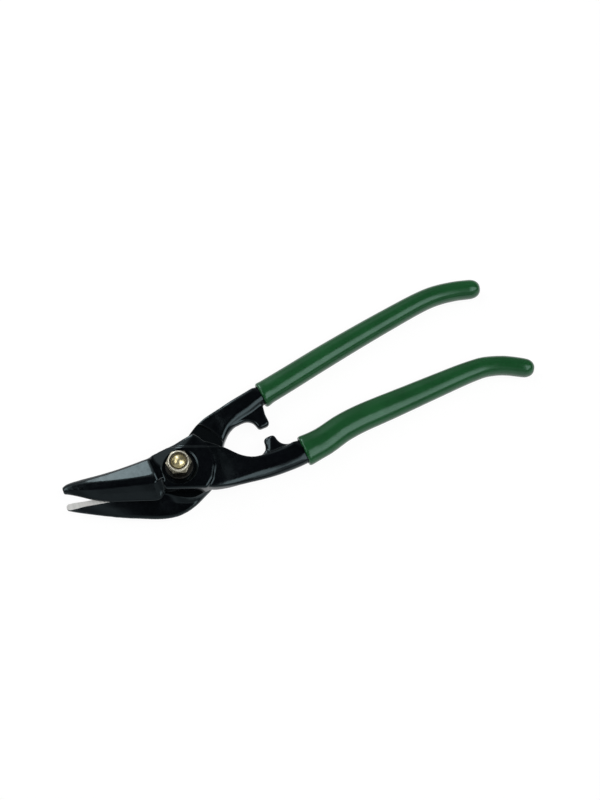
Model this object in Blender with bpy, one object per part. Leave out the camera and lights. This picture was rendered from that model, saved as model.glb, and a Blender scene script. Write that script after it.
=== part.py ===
"""Offset tin snips: two drop-forged levers on one bolt, with dipped grips on their handles.

Metres, +Z up. The pivot axis is the Z axis and the bolt's head stands on z = 0. The jaws point to -X and
the handles to +X. The upper blade lever carries the upper jaw and the lower handle, on the nut's side; the
lower blade lever carries the lower jaw and the upper handle. The snips lie a little open.
"""
import math

import bmesh
import bpy
from mathutils import Matrix, Vector

# Fits and cuts
CLEARANCE = 0.0003
CUT_OVERRUN = 0.002

# Bolt: a flat round head under the lower plate, a square neck that stops it turning, a domed end
HEAD_DIAMETER = 0.0180
HEAD_THICKNESS = 0.0025
HEAD_EDGE = 0.0005
BOLT_DIAMETER = 0.0080
NECK_HEIGHT = 0.0045
NECK_TURN = math.radians(45)
BOLT_PROUD = 0.0010
BOLT_DOME = 0.0017

# Washer, nut and the nut's locking ring
WASHER_DIAMETER = 0.0160
WASHER_THICKNESS = 0.0016
WASHER_EDGE = 0.0003
NUT_WIDTH = 0.0130
NUT_HEIGHT = 0.0080
NUT_HEX_HEIGHT = 0.0058
NUT_CHAMFER = 0.0006
NUT_TURN = math.radians(44)
COLLAR_DIAMETER = 0.0124
COLLAR_WALL = 0.0009
COLLAR_LIP = 0.0006
LOCK_RING_HEIGHT = 0.0016

# Plates at the pivot, one over the other, and the round seat that is milled for the nut
PLATE_THICKNESS = 0.0083
PLATE_EDGE = 0.0009
PLATE_FALL_START = 0.0025
PLATE_FALL_REACH = 0.0130
PLATE_FALL_LEAD = 0.0065
SPOTFACE_DIAMETER = 0.0202
SPOTFACE_DEPTH = 0.0015
SPOTFACE_EDGE = 0.0005
SEAT_RADIUS = 0.0295
SEAT_STEP = 0.0004

# Jaws
JAW_REACH = 0.0670
JAW_DEPTH = 0.0260
UPPER_JAW_RISE = 0.0058
UPPER_JAW_FLANK = 0.0012
UPPER_JAW_BACK = 0.0030
BACK_EDGE = 0.0016
LOWER_JAW_DROP = 0.0083

# Arms from the pivot to the mouths of the grips, and the stop lugs between them
LOWER_ARM_REACH = 0.0700
UPPER_ARM_REACH = 0.0590
ARM_THICKNESS = 0.0083
ARM_BEVEL_WIDTH = 0.0034
ARM_BEVEL_HEIGHT = 0.0023
ARM_SHOULDER = 0.0013
LUG_THICKNESS = 0.0044
LUG_EDGE = 0.0009

# Handles in their grips
UPPER_GRIP_LENGTH = 0.1466
LOWER_GRIP_LENGTH = 0.1450
UPPER_GRIP_WIDTH = 0.0146
LOWER_GRIP_WIDTH = 0.0177
GRIP_THICKNESS = 0.0116
GRIP_WALL = 0.0013
GRIP_BEAD = 0.0004
GRIP_BEAD_LENGTH = 0.0045
GRIP_END_ROUND = 0.0066
MOUTH_HEIGHT = 0.0095
REST_GAP = 0.0001
TANG_SHARE = 0.93

# Levels of the two plates
LOWER_PLATE_BOTTOM = HEAD_THICKNESS + CLEARANCE
SHEAR_PLANE = LOWER_PLATE_BOTTOM + PLATE_THICKNESS
UPPER_PLATE_BOTTOM = SHEAR_PLANE + CLEARANCE
UPPER_PLATE_TOP = UPPER_PLATE_BOTTOM + PLATE_THICKNESS
WASHER_BOTTOM = UPPER_PLATE_TOP - SPOTFACE_DEPTH + CLEARANCE
NUT_BOTTOM = WASHER_BOTTOM + WASHER_THICKNESS + CLEARANCE
BORE_RADIUS = BOLT_DIAMETER / 2 + CLEARANCE

SPAN_STEPS = 4
ROUND_SIDES = 48
GRIP_SIDES = 16
BOLT_SIDES = 32
DOME_STEPS = 6
CORNER_STEPS = 5
SMOOTH_ANGLE = math.radians(28)

# Shares of the thing that each name gives
CORNER_EASE_SHARE = 0.22
ARM_FAR_BEVEL_SHARE = 0.30
PLATE_FALL_SLOPE_SHARES = (0.18, 0.40)
PLATE_FALL_LINE_SHARES = ((-0.191, 0.110), (0.384, 0.459))
ROOT_LIFT_SHARE = 1.8
NUT_CROWN_SHARES = ((0.00, 0.45), (0.12, 0.16), (0.36, 0.00))
FLANK_BEND_SHARE = 0.50
FLANK_RISE_SHARE = 0.52
LOW_RISE_SHARE = 0.67
RELIEF_BEND_SHARE = 0.42
NEAR_EDGE_SHARE = 0.93
NEAR_SIDE_SHARE = 0.35
FAR_SIDE_SHARE = 0.45
BACK_EDGE_SHARE = 0.12
JAW_CUT_SHARE = 1.2
GRIP_ROUND_POWER = 2.35
GRIP_TURN_SHARE = 0.08
MOUTH_TURN_SHARE = 0.60
BEAD_CLEAR_SHARE = 0.85
BEAD_SHARES = ((0.00, -0.50), (0.10, 0.70), (0.30, 1.00), (0.60, 0.55))
CLOSING_START_SHARE = 0.60
CLOSING_SHARES = (0.55, 0.30, 0.12, 0.03)
END_POWER = 2.3

# Upper jaw from its root to its tip: along in shares of JAW_REACH; cutting edge, near and far lines of the
# ridge and back in shares of JAW_DEPTH; ridge height in shares of UPPER_JAW_RISE
UPPER_JAW_SHARES = (
    (-0.050, -0.150, -0.110, 0.150, 0.480, 1.30),
    (-0.170, -0.315, -0.125, 0.050, 0.505, 1.28),
    (-0.212, -0.410, -0.120, 0.045, 0.503, 1.02),
    (-0.262, -0.480, -0.108, 0.050, 0.499, 0.99),
    (-0.400, -0.365, -0.027, 0.131, 0.492, 0.95),
    (-0.540, -0.240, 0.073, 0.227, 0.499, 0.88),
    (-0.665, -0.115, 0.165, 0.323, 0.519, 0.79),
    (-0.780, 0.045, 0.258, 0.412, 0.547, 0.68),
    (-0.870, 0.205, 0.335, 0.470, 0.566, 0.56),
    (-0.945, 0.330, 0.400, 0.492, 0.570, 0.44),
    (-0.990, 0.388, 0.430, 0.475, 0.530, 0.34),
)

# Lower jaw and plate from the tip to the arm: along in shares of JAW_REACH; cutting edge or far side,
# start of the relief and near edge in shares of JAW_DEPTH; then how deep the jaw is at its near edge and
# at its bottom, in shares of LOWER_JAW_DROP, and the share of the relief's fall above its bend
LOWER_JAW_SHARES = (
    (-1.008, 0.105, 0.045, 0.020, 0.10, 0.30, 0.42),
    (-0.985, 0.136, 0.008, -0.015, 0.14, 0.37, 0.42),
    (-0.930, 0.116, -0.010, -0.090, 0.24, 0.47, 0.42),
    (-0.860, 0.078, -0.022, -0.180, 0.33, 0.57, 0.42),
    (-0.760, 0.042, -0.068, -0.310, 0.40, 0.70, 0.42),
    (-0.600, 0.070, -0.140, -0.510, 0.47, 0.85, 0.42),
    (-0.450, 0.180, -0.200, -0.675, 0.50, 0.95, 0.42),
    (-0.300, 0.330, -0.290, -0.830, 0.50, 1.00, 0.44),
    (-0.180, 0.430, -0.370, -0.905, 0.48, 1.00, 0.54),
    (-0.080, 0.480, -0.550, -0.900, 0.44, 1.00, 0.68),
    (0.020, 0.510, -0.672, -0.835, 0.38, 1.00, 0.66),
    (0.120, 0.560, -0.650, -0.715, 0.32, 1.00, 0.62),
    (0.210, 0.640, -0.520, -0.590, 0.26, 1.00, 0.52),
    (0.300, 0.680, -0.300, -0.370, 0.16, 1.00, 0.42),
    (0.380, 0.540, -0.020, -0.080, 0.10, 1.00, 0.42),
)

# Upper plate round the bolt: along and across in shares of SEAT_RADIUS, each with its corner's round; the
# arm's side is an arc round the bolt
UPPER_PLATE_SHARES = (
    (-0.412, -0.330, 0.080),
    (0.360, -0.600, 0.080),
    (0.520, -0.460, 0.160),
    (0.650, -0.220, 0.160),
    (0.690, 0.030, 0.160),
    (0.650, 0.270, 0.160),
    (0.560, 0.430, 0.160),
    (0.470, 0.545, 0.060),
    (0.080, 0.470, 0.000),
    (-0.345, 0.440, 0.060),
)

# Arms: along and across of the near and far edges in shares of the arm's reach, then underside and top in
# shares of the fall or rise from the plate to the handle, and the bevel in shares of the arm's own
LOWER_ARM_SHARES = (
    (0.060, -0.150, 0.080, 0.110, 0.00, 0.02, 0.30),
    (0.170, -0.245, 0.235, 0.140, 0.00, 0.02, 0.32),
    (0.285, -0.281, 0.343, 0.074, 0.00, 0.10, 0.38),
    (0.400, -0.297, 0.421, 0.008, 0.00, 0.36, 0.55),
    (0.515, -0.305, 0.507, -0.068, 0.30, 0.68, 0.78),
    (0.630, -0.311, 0.607, -0.114, 0.66, 0.90, 0.95),
    (0.745, -0.313, 0.730, -0.121, 0.90, 1.00, 1.00),
    (0.870, -0.311, 0.865, -0.117, 1.00, 1.00, 1.00),
    (0.962, -0.3055, 0.945, -0.104, 1.00, 1.00, 1.00),
)
UPPER_ARM_SHARES = (
    (0.120, -0.140, 0.060, 0.190, 0.00, 0.00, 0.25),
    (0.300, -0.110, 0.190, 0.300, 0.00, 0.00, 0.25),
    (0.424, 0.012, 0.290, 0.370, 0.00, 0.00, 0.30),
    (0.473, 0.090, 0.380, 0.417, 0.05, 0.00, 0.45),
    (0.524, 0.159, 0.475, 0.444, 0.25, 0.20, 0.70),
    (0.597, 0.221, 0.575, 0.464, 0.55, 0.62, 0.90),
    (0.710, 0.268, 0.695, 0.492, 0.85, 0.95, 1.00),
    (0.850, 0.303, 0.835, 0.521, 1.00, 1.00, 1.00),
    (0.962, 0.343, 0.940, 0.5436, 1.00, 1.00, 1.00),
)

# Stop lugs: along and across in shares of the arm's reach, each with its corner's round
LOWER_LUG_SHARES = (
    (0.590, -0.200, 0.000),
    (0.590, -0.112, 0.000),
    (0.722, -0.116, 0.080),
    (0.731, 0.020, 0.032),
    (0.822, 0.020, 0.026),
    (0.850, -0.096, 0.090),
    (0.960, -0.100, 0.000),
    (0.960, -0.200, 0.000),
)
UPPER_LUG_SHARES = (
    (0.640, 0.400, 0.000),
    (0.590, 0.238, 0.000),
    (0.820, 0.262, 0.100),
    (0.864, 0.128, 0.030),
    (0.981, 0.136, 0.036),
    (0.972, 0.250, 0.080),
    (0.986, 0.380, 0.000),
)

# Axes of the grips from their mouths: along and across in shares of the grip's length
UPPER_MOUTH_SHARE = 0.458
LOWER_MOUTH_SHARE = -0.199
UPPER_AXIS_SHARES = (
    (0.000, 0.000),
    (0.128, 0.029),
    (0.289, 0.069),
    (0.452, 0.1055),
    (0.617, 0.1365),
    (0.740, 0.157),
    (0.817, 0.162),
    (0.891, 0.154),
    (0.940, 0.143),
    (1.000, 0.127),
)
LOWER_AXIS_SHARES = (
    (0.000, 0.000),
    (0.089, 0.012),
    (0.173, 0.037),
    (0.248, 0.051),
    (0.328, 0.059),
    (0.495, 0.071),
    (0.621, 0.079),
    (0.705, 0.084),
    (0.770, 0.0855),
    (0.821, 0.0825),
    (0.891, 0.062),
    (0.956, 0.028),
    (1.000, 0.001),
)
UPPER_WIDTH_SHARES = ((0.0, 1.0), (0.3, 0.96), (0.5, 0.90), (0.7, 0.835), (0.88, 0.77), (1.0, 0.75))
LOWER_WIDTH_SHARES = (
    (0.0, 1.0),
    (0.17, 0.935),
    (0.35, 0.91),
    (0.5, 0.83),
    (0.7, 0.725),
    (0.85, 0.63),
    (1.0, 0.60),
)

# Where along the grip the handle has come down to lie on the table
DOWN_SHARE = 0.5


def clear_scene():
    """Remove every object that the new file starts with."""
    for item in list(bpy.data.objects):
        bpy.data.objects.remove(item, do_unlink=True)


def make_material(name, colour, roughness, metallic):
    """A plain Principled material."""
    material = bpy.data.materials.new(name)
    material.use_nodes = True
    shader = material.node_tree.nodes["Principled BSDF"]
    shader.inputs["Base Color"].default_value = (*colour, 1.0)
    shader.inputs["Roughness"].default_value = roughness
    shader.inputs["Metallic"].default_value = metallic
    return material


def add_object(name, mesh_data, material=None):
    """Turn a bmesh into an object with outward faces."""
    bmesh.ops.recalc_face_normals(mesh_data, faces=mesh_data.faces)
    mesh = bpy.data.meshes.new(name)
    mesh_data.to_mesh(mesh)
    mesh_data.free()
    if material is not None:
        mesh.materials.append(material)
    item = bpy.data.objects.new(name, mesh)
    bpy.context.scene.collection.objects.link(item)
    return item


def between(start, end, share):
    """The value that lies this share of the way from start to end."""
    return start + (end - start) * share


def ease(share):
    """A share that leaves zero and meets one smoothly."""
    held = min(max(share, 0.0), 1.0)
    return held * held * (3 - 2 * held)


def smooth_rows(rows, steps):
    """Rows of numbers read at even steps from smooth curves through the given rows."""
    result = []
    last = len(rows) - 1
    for index in range(last):
        before = rows[max(index - 1, 0)]
        start = rows[index]
        end = rows[index + 1]
        after = rows[min(index + 2, last)]
        for step in range(steps):
            t = step / steps
            row = []
            for a, b, c, d in zip(before, start, end, after):
                row.append(b + t / 2 * (c - a + t * (2 * a - 5 * b + 4 * c - d + t * (3 * (b - c) + d - a))))
            result.append(tuple(row))
    result.append(tuple(rows[-1]))
    return result


def read_share(table, share):
    """The value at a place between those of a table of (place, value) pairs."""
    for (place, value), (next_place, next_value) in zip(table, table[1:]):
        if share <= next_place:
            return between(value, next_value, (share - place) / (next_place - place))
    return table[-1][1]


def loft(name, rings, material=None):
    """A closed skin over rings of points, with flat ends."""
    mesh_data = bmesh.new()
    loops = [[mesh_data.verts.new(point) for point in ring] for ring in rings]
    count = len(loops[0])
    for first, second in zip(loops, loops[1:]):
        for index in range(count):
            after = (index + 1) % count
            mesh_data.faces.new((first[index], first[after], second[after], second[index]))
    mesh_data.faces.new(loops[0][::-1])
    mesh_data.faces.new(loops[-1])
    return add_object(name, mesh_data, material)


def rounded_outline(corners, size):
    """A closed outline whose corners (along, across, round), in shares of size, are arcs."""
    points = []
    count = len(corners)
    for index, (along, across, round_share) in enumerate(corners):
        corner = Vector((along, across)) * size
        if round_share == 0:
            points.append(corner)
            continue
        previous = Vector(corners[index - 1][:2]) * size
        following = Vector(corners[(index + 1) % count][:2]) * size
        back = (previous - corner).normalized()
        ahead = (following - corner).normalized()
        half = back.angle(ahead) / 2
        radius = round_share * size
        reach = radius / math.tan(half)
        centre = corner + (back + ahead).normalized() * radius / math.sin(half)
        start = corner + back * reach - centre
        end = corner + ahead * reach - centre
        turn = start.angle_signed(end)
        for step in range(CORNER_STEPS + 1):
            points.append(centre + Matrix.Rotation(-turn * step / CORNER_STEPS, 2) @ start)
    return points


def inset_outline(points, depth):
    """The outline moved inwards by depth; the points run anticlockwise or clockwise."""
    area = sum(a.x * b.y - a.y * b.x for a, b in zip(points, points[1:] + points[:1]))
    side = 1 if area > 0 else -1
    result = []
    for index, point in enumerate(points):
        back = (point - points[index - 1]).normalized()
        ahead = (points[(index + 1) % len(points)] - point).normalized()
        across = (back + ahead).normalized()
        result.append(point + Vector((-across.y, across.x)) * side * depth)
    return result


def slab(name, outline, bottom, top, edge_bottom, edge_top, material=None):
    """A plate between two levels with its upper and lower edges taken off."""
    levels = [(bottom, edge_bottom), (bottom + edge_bottom, 0), (top - edge_top, 0), (top, edge_top)]
    if edge_bottom == 0:
        levels = levels[1:]
    rings = []
    for height, depth in levels:
        rings.append([(point.x, point.y, height) for point in inset_outline(outline, depth)])
    return loft(name, rings, material)


def turned(name, profile, material=None, sides=ROUND_SIDES):
    """A body turned round the Z axis from (radius, height) points; a closed ring if none is on the axis."""
    mesh_data = bmesh.new()
    rings = []
    for radius, height in profile:
        if radius == 0:
            rings.append([mesh_data.verts.new((0, 0, height))])
            continue
        ring = []
        for side in range(sides):
            angle = 2 * math.pi * side / sides
            ring.append(mesh_data.verts.new((radius * math.cos(angle), radius * math.sin(angle), height)))
        rings.append(ring)
    solid = len(rings[0]) == 1
    pairs = list(zip(rings, rings[1:]))
    if not solid:
        pairs.append((rings[-1], rings[0]))
    for first, second in pairs:
        for side in range(sides):
            after = (side + 1) % sides
            corners = [first[side % len(first)], first[after % len(first)]]
            corners += [second[after % len(second)], second[side % len(second)]]
            unique = list(dict.fromkeys(corners))
            mesh_data.faces.new(unique)
    return add_object(name, mesh_data, material)


def prism(name, sides, across_flats, bottom, top, turn, material=None):
    """A regular prism round the Z axis, given by its width across flats and the angle of a corner."""
    radius = across_flats / 2 / math.cos(math.pi / sides)
    rings = []
    for height in (bottom, top):
        ring = []
        for side in range(sides):
            angle = turn + 2 * math.pi * side / sides
            ring.append((radius * math.cos(angle), radius * math.sin(angle), height))
        rings.append(ring)
    return loft(name, rings, material)


def combine(target, tool, operation):
    """Join, cut or clip the target with a tool that the finished model leaves out."""
    modifier = target.modifiers.new(tool.name, "BOOLEAN")
    modifier.operation = operation
    modifier.object = tool
    tool.hide_render = True
    tool.display_type = "WIRE"


def shade(item):
    """Smooth round faces and keep real edges crisp."""
    item.data.shade_smooth()
    item.data.set_sharp_from_angle(angle=SMOOTH_ANGLE)


def bevelled_ring(near, far, bottom, top, bevel_width, bevel_height, near_drop):
    """Sixteen points of a bar's section: bevelled, slightly eased corners and a top that may slope."""
    width = (far - near).length
    across = (far - near) / width
    low = bottom + bevel_height
    high = top - bevel_height
    right = width - bevel_width
    corners = [(0, low), (bevel_width, bottom), (right, bottom), (width, low)]
    corners.append((width, top - bevel_height * ARM_FAR_BEVEL_SHARE))
    corners.append((width - bevel_width * ARM_FAR_BEVEL_SHARE, top))
    corners += [(bevel_width, top - near_drop), (0, high - near_drop)]
    ring = []
    for index, corner in enumerate(corners):
        here = Vector(corner)
        back = Vector(corners[index - 1])
        ahead = Vector(corners[(index + 1) % len(corners)])
        shortest = min((back - here).length, (ahead - here).length)
        for neighbour in (back, ahead):
            point = here + (neighbour - here).normalized() * shortest * CORNER_EASE_SHARE
            place = near + across * point.x
            ring.append(Vector((place.x, place.y, point.y)))
    return ring


def handle_stations(mouth, axis_shares, length, width, width_shares):
    """Places along a grip: centre, direction across, half width, height and distance to the end."""
    steps = SPAN_STEPS - 1
    path = [mouth + Vector(row) * length for row in smooth_rows(axis_shares, steps)]
    travelled = [0.0]
    for first, second in zip(path, path[1:]):
        travelled.append(travelled[-1] + (second - first).length)
    total = travelled[-1]
    stations = []
    for index, centre in enumerate(path):
        share = travelled[index] / total
        ahead = path[min(index + 1, len(path) - 1)] - path[max(index - 1, 0)]
        turn = math.atan2(ahead.y, ahead.x) * between(MOUTH_TURN_SHARE, 1, ease(share / GRIP_TURN_SHARE))
        across = Vector((-math.sin(turn), math.cos(turn)))
        half = width * read_share(width_shares, share) / 2
        lying = GRIP_THICKNESS / 2 + REST_GAP
        height = between(MOUTH_HEIGHT, lying, ease(share / DOWN_SHARE))
        stations.append((centre, across, half, height, total - travelled[index]))
    return stations


def grip_ring(station, inset):
    """Sixteen points of the grip's rounded section at a station, or of the handle's when it is inset."""
    centre, across, half, height, to_end = station
    round_left = min(to_end / GRIP_END_ROUND, 1.0)
    swell = (1 - (1 - round_left) ** END_POWER) ** (1 / END_POWER)
    wide = (half - inset) * swell
    tall = (GRIP_THICKNESS / 2 - inset) * swell
    ring = []
    for index in range(GRIP_SIDES):
        angle = math.pi + 2 * math.pi * (index + 0.5) / GRIP_SIDES
        aside = math.copysign(abs(math.cos(angle)) ** (2 / GRIP_ROUND_POWER), math.cos(angle))
        above = math.copysign(abs(math.sin(angle)) ** (2 / GRIP_ROUND_POWER), math.sin(angle))
        place = centre + across * wide * aside
        ring.append(Vector((place.x, place.y, height + tall * above)))
    return ring


def make_grip(name, stations, material):
    """A dipped sleeve: closed at its end, with a cavity for the handle and a small bead at its mouth."""
    outer = []
    mouth, mouth_across, mouth_half, mouth_height, total = stations[0]
    ahead = Vector((mouth_across.y, -mouth_across.x))
    for share, proud in BEAD_SHARES:
        travel = GRIP_BEAD_LENGTH * share
        place = (mouth + ahead * travel, mouth_across, mouth_half, mouth_height, total - travel)
        outer.append(grip_ring(place, -GRIP_BEAD * proud))
    for station in stations[1:]:
        beyond_bead = total - station[4] > GRIP_BEAD_LENGTH * BEAD_CLEAR_SHARE
        if beyond_bead and station[4] > GRIP_END_ROUND * CLOSING_START_SHARE:
            outer.append(grip_ring(station, 0))
    centre, across, half, height, _ = stations[-1]
    back = (stations[-2][0] - centre).normalized()
    for share in CLOSING_SHARES:
        distance = GRIP_END_ROUND * share
        outer.append(grip_ring((centre + back * distance, across, half, height, distance), 0))
    grip = loft(name, outer, material)
    cavity = loft(name + "_cavity", tang_rings(stations, GRIP_WALL, CLEARANCE, True))
    combine(grip, cavity, "DIFFERENCE")
    shade(grip)
    return grip


def tang_rings(stations, inset, extra, open_mouth):
    """Sections of the handle inside a grip, or of the grip's cavity."""
    total = stations[0][4]
    stop = total * (1 - TANG_SHARE) - extra
    rings = []
    for station in stations:
        if station[4] > stop:
            rings.append(grip_ring(station, inset))
    last = next(station for station in stations if station[4] <= stop)
    rings.append(grip_ring(last, inset))
    if open_mouth:
        start = stations[0]
        ahead = Vector((start[1].y, -start[1].x))
        rings.insert(0, grip_ring((start[0] - ahead * CUT_OVERRUN, *start[1:]), inset))
    return rings


def arm_rings(shares, reach, plate_bottom, plate_top, shoulder):
    """Sections of an arm between the pivot plate and the handle; its near side starts a shoulder lower."""
    handle_bottom = MOUTH_HEIGHT - ARM_THICKNESS / 2
    handle_top = MOUTH_HEIGHT + ARM_THICKNESS / 2
    rings = []
    for row in smooth_rows(shares, SPAN_STEPS):
        near = Vector(row[0:2]) * reach
        far = Vector(row[2:4]) * reach
        bottom = between(plate_bottom, handle_bottom, max(row[4], 0.0))
        top = between(plate_top, handle_top, max(row[5], 0.0))
        wide = ARM_BEVEL_WIDTH * row[6]
        tall = ARM_BEVEL_HEIGHT * row[6]
        rings.append(bevelled_ring(near, far, bottom, top, wide, tall, shoulder * (1 - ease(row[5]))))
    return rings


def upper_jaw_rings():
    """Ridged sections of the upper jaw, from inside the plate to the tip."""
    rings = []
    for along, edge, ridge_near, ridge_far, back, rise in smooth_rows(UPPER_JAW_SHARES, SPAN_STEPS):
        x = along * JAW_REACH
        base = UPPER_PLATE_BOTTOM - CUT_OVERRUN
        ridge = UPPER_PLATE_BOTTOM + rise * UPPER_JAW_RISE
        low_rise = min(rise / LOW_RISE_SHARE, 1.0)
        flank = UPPER_PLATE_BOTTOM + UPPER_JAW_FLANK * low_rise
        lift = UPPER_JAW_RISE * max(rise - 1, 0) * ROOT_LIFT_SHARE
        back_top = UPPER_PLATE_BOTTOM + UPPER_JAW_BACK * low_rise + lift
        near_y = edge * JAW_DEPTH
        back_y = back * JAW_DEPTH
        back_edge = min(BACK_EDGE, (back - ridge_far) * JAW_DEPTH / 2)
        ring = [(x, near_y, base), (x, near_y, flank)]
        bend_y = between(near_y, ridge_near * JAW_DEPTH, FLANK_BEND_SHARE)
        ring.append((x, bend_y, between(flank, ridge, FLANK_RISE_SHARE)))
        ring.append((x, ridge_near * JAW_DEPTH, ridge))
        ring.append((x, ridge_far * JAW_DEPTH, ridge))
        ring.append((x, back_y - back_edge, back_top))
        ring.append((x, back_y, back_top - back_edge))
        ring.append((x, back_y, base))
        rings.append([Vector(point) for point in ring])
    return rings


def lower_jaw_rings():
    """Sections of the lower jaw and plate: ground land, relief that falls to the near edge, flat bottom."""
    rings = []
    for along, edge, relief, near, fall, depth, bend in smooth_rows(LOWER_JAW_SHARES, SPAN_STEPS):
        x = along * JAW_REACH
        above = SHEAR_PLANE + CUT_OVERRUN
        bottom = SHEAR_PLANE - depth * LOWER_JAW_DROP
        near_top = SHEAR_PLANE - fall * LOWER_JAW_DROP
        edge_y = edge * JAW_DEPTH
        relief_y = max(relief * JAW_DEPTH, near * JAW_DEPTH)
        near_y = near * JAW_DEPTH
        under = min(PLATE_EDGE * 2, (near_top - bottom) / 2)
        back_y = between(edge_y, relief_y, BACK_EDGE_SHARE)
        ring = [(x, edge_y, above), (x, relief_y, above), (x, relief_y, SHEAR_PLANE)]
        bend_y = between(relief_y, near_y, RELIEF_BEND_SHARE)
        ring.append((x, bend_y, between(SHEAR_PLANE, near_top, bend)))
        ring.append((x, between(relief_y, near_y, NEAR_EDGE_SHARE), near_top))
        ring.append((x, near_y, between(near_top, bottom, NEAR_SIDE_SHARE)))
        ring.append((x, near_y + under, bottom))
        ring.append((x, back_y, bottom))
        ring.append((x, edge_y, between(SHEAR_PLANE, bottom, FAR_SIDE_SHARE)))
        rings.append([Vector(point) for point in ring])
    return rings


def plate_fall_cutter():
    """The block that takes the plate's far corner down, in two slopes, to the back of the jaw."""
    start = Vector(PLATE_FALL_LINE_SHARES[0]) * SEAT_RADIUS
    end = Vector(PLATE_FALL_LINE_SHARES[1]) * SEAT_RADIUS
    ahead = (end - start).normalized()
    outward = Vector((-ahead.y, ahead.x))
    first, second = PLATE_FALL_SLOPE_SHARES
    bend = PLATE_FALL_START * first
    profile = [(-CLEARANCE, CLEARANCE * first), (PLATE_FALL_START, -bend)]
    profile.append((PLATE_FALL_REACH, -bend - (PLATE_FALL_REACH - PLATE_FALL_START) * second))
    profile += [(PLATE_FALL_REACH, CUT_OVERRUN), (-CLEARANCE, CUT_OVERRUN)]
    rings = []
    for place in (start - ahead * PLATE_FALL_LEAD, end + ahead * PLATE_FALL_LEAD):
        corners = [place + outward * away for away, _ in profile]
        rings.append([(c.x, c.y, UPPER_PLATE_TOP + height) for c, (_, height) in zip(corners, profile)])
    return loft("plate_fall_cut", rings)


def grind(item, side):
    """Cut one lever flat at its rubbing face: round the pivot and along the jaw."""
    level = SHEAR_PLANE if side > 0 else UPPER_PLATE_BOTTOM
    far_level = level + side * PLATE_THICKNESS * 2
    low = min(level, far_level)
    high = max(level, far_level)
    seat = turned(item.name + "_seat_cut", [(0, low), (SEAT_RADIUS, low), (SEAT_RADIUS, high), (0, high)])
    combine(item, seat, "DIFFERENCE")
    reach = JAW_REACH + CUT_OVERRUN
    depth = JAW_DEPTH * JAW_CUT_SHARE
    corners = [(-reach, -depth), (0, -depth), (0, depth), (-reach, depth)]
    rings = [[(x, y, height) for x, y in corners] for height in (low, high)]
    jaw_cut = loft(item.name + "_jaw_cut", rings)
    combine(item, jaw_cut, "DIFFERENCE")


def make_upper_lever(stations, material):
    """Upper jaw, pivot plate with its spotface, joggled arm, stop lug and lower handle in one forging."""
    lever = loft("upper_blade_lever", upper_jaw_rings(), material)
    outline = rounded_outline(UPPER_PLATE_SHARES, SEAT_RADIUS)
    base = UPPER_PLATE_BOTTOM - CUT_OVERRUN
    plate = slab("upper_plate", outline, base, UPPER_PLATE_TOP, 0, PLATE_EDGE)
    combine(lever, plate, "UNION")
    combine(lever, plate_fall_cutter(), "DIFFERENCE")
    underside = UPPER_PLATE_BOTTOM - SEAT_STEP
    rings = arm_rings(LOWER_ARM_SHARES, LOWER_ARM_REACH, underside, UPPER_PLATE_TOP, ARM_SHOULDER)
    rings += tang_rings(stations, GRIP_WALL + CLEARANCE, 0, False)
    combine(lever, loft("lower_arm", rings), "UNION")
    lug_outline = rounded_outline(LOWER_LUG_SHARES, LOWER_ARM_REACH)
    half = LUG_THICKNESS / 2
    lug = slab("lower_lug", lug_outline, MOUTH_HEIGHT - half, MOUTH_HEIGHT + half, LUG_EDGE, LUG_EDGE)
    combine(lever, lug, "UNION")
    grind(lever, -1)
    top = UPPER_PLATE_TOP + CUT_OVERRUN
    floor = UPPER_PLATE_TOP - SPOTFACE_DEPTH
    radius = SPOTFACE_DIAMETER / 2
    profile = [(0, base - CUT_OVERRUN), (BORE_RADIUS, base - CUT_OVERRUN), (BORE_RADIUS, floor)]
    profile += [(radius - SPOTFACE_EDGE, floor), (radius - SPOTFACE_EDGE, UPPER_PLATE_TOP - SPOTFACE_EDGE)]
    profile += [(radius, UPPER_PLATE_TOP), (radius, top), (0, top)]
    combine(lever, turned("spotface_and_bore_cut", profile), "DIFFERENCE")
    shade(lever)
    return lever


def make_lower_lever(stations, material):
    """Lower jaw, pivot plate with its square hole, arm, stop lug and upper handle in one forging."""
    lever = loft("lower_blade_lever", lower_jaw_rings(), material)
    topside = SHEAR_PLANE + SEAT_STEP
    rings = arm_rings(UPPER_ARM_SHARES, UPPER_ARM_REACH, LOWER_PLATE_BOTTOM, topside, 0)
    rings += tang_rings(stations, GRIP_WALL + CLEARANCE, 0, False)
    combine(lever, loft("upper_arm", rings), "UNION")
    lug_outline = rounded_outline(UPPER_LUG_SHARES, UPPER_ARM_REACH)
    half = LUG_THICKNESS / 2
    lug = slab("upper_lug", lug_outline, MOUTH_HEIGHT - half, MOUTH_HEIGHT + half, LUG_EDGE, LUG_EDGE)
    combine(lever, lug, "UNION")
    grind(lever, 1)
    bottom = LOWER_PLATE_BOTTOM - CUT_OVERRUN
    top = SHEAR_PLANE + CUT_OVERRUN
    neck_hole = prism("neck_hole_cut", 4, BOLT_DIAMETER + 2 * CLEARANCE, bottom, top, NECK_TURN)
    combine(lever, neck_hole, "DIFFERENCE")
    shade(lever)
    return lever


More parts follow.
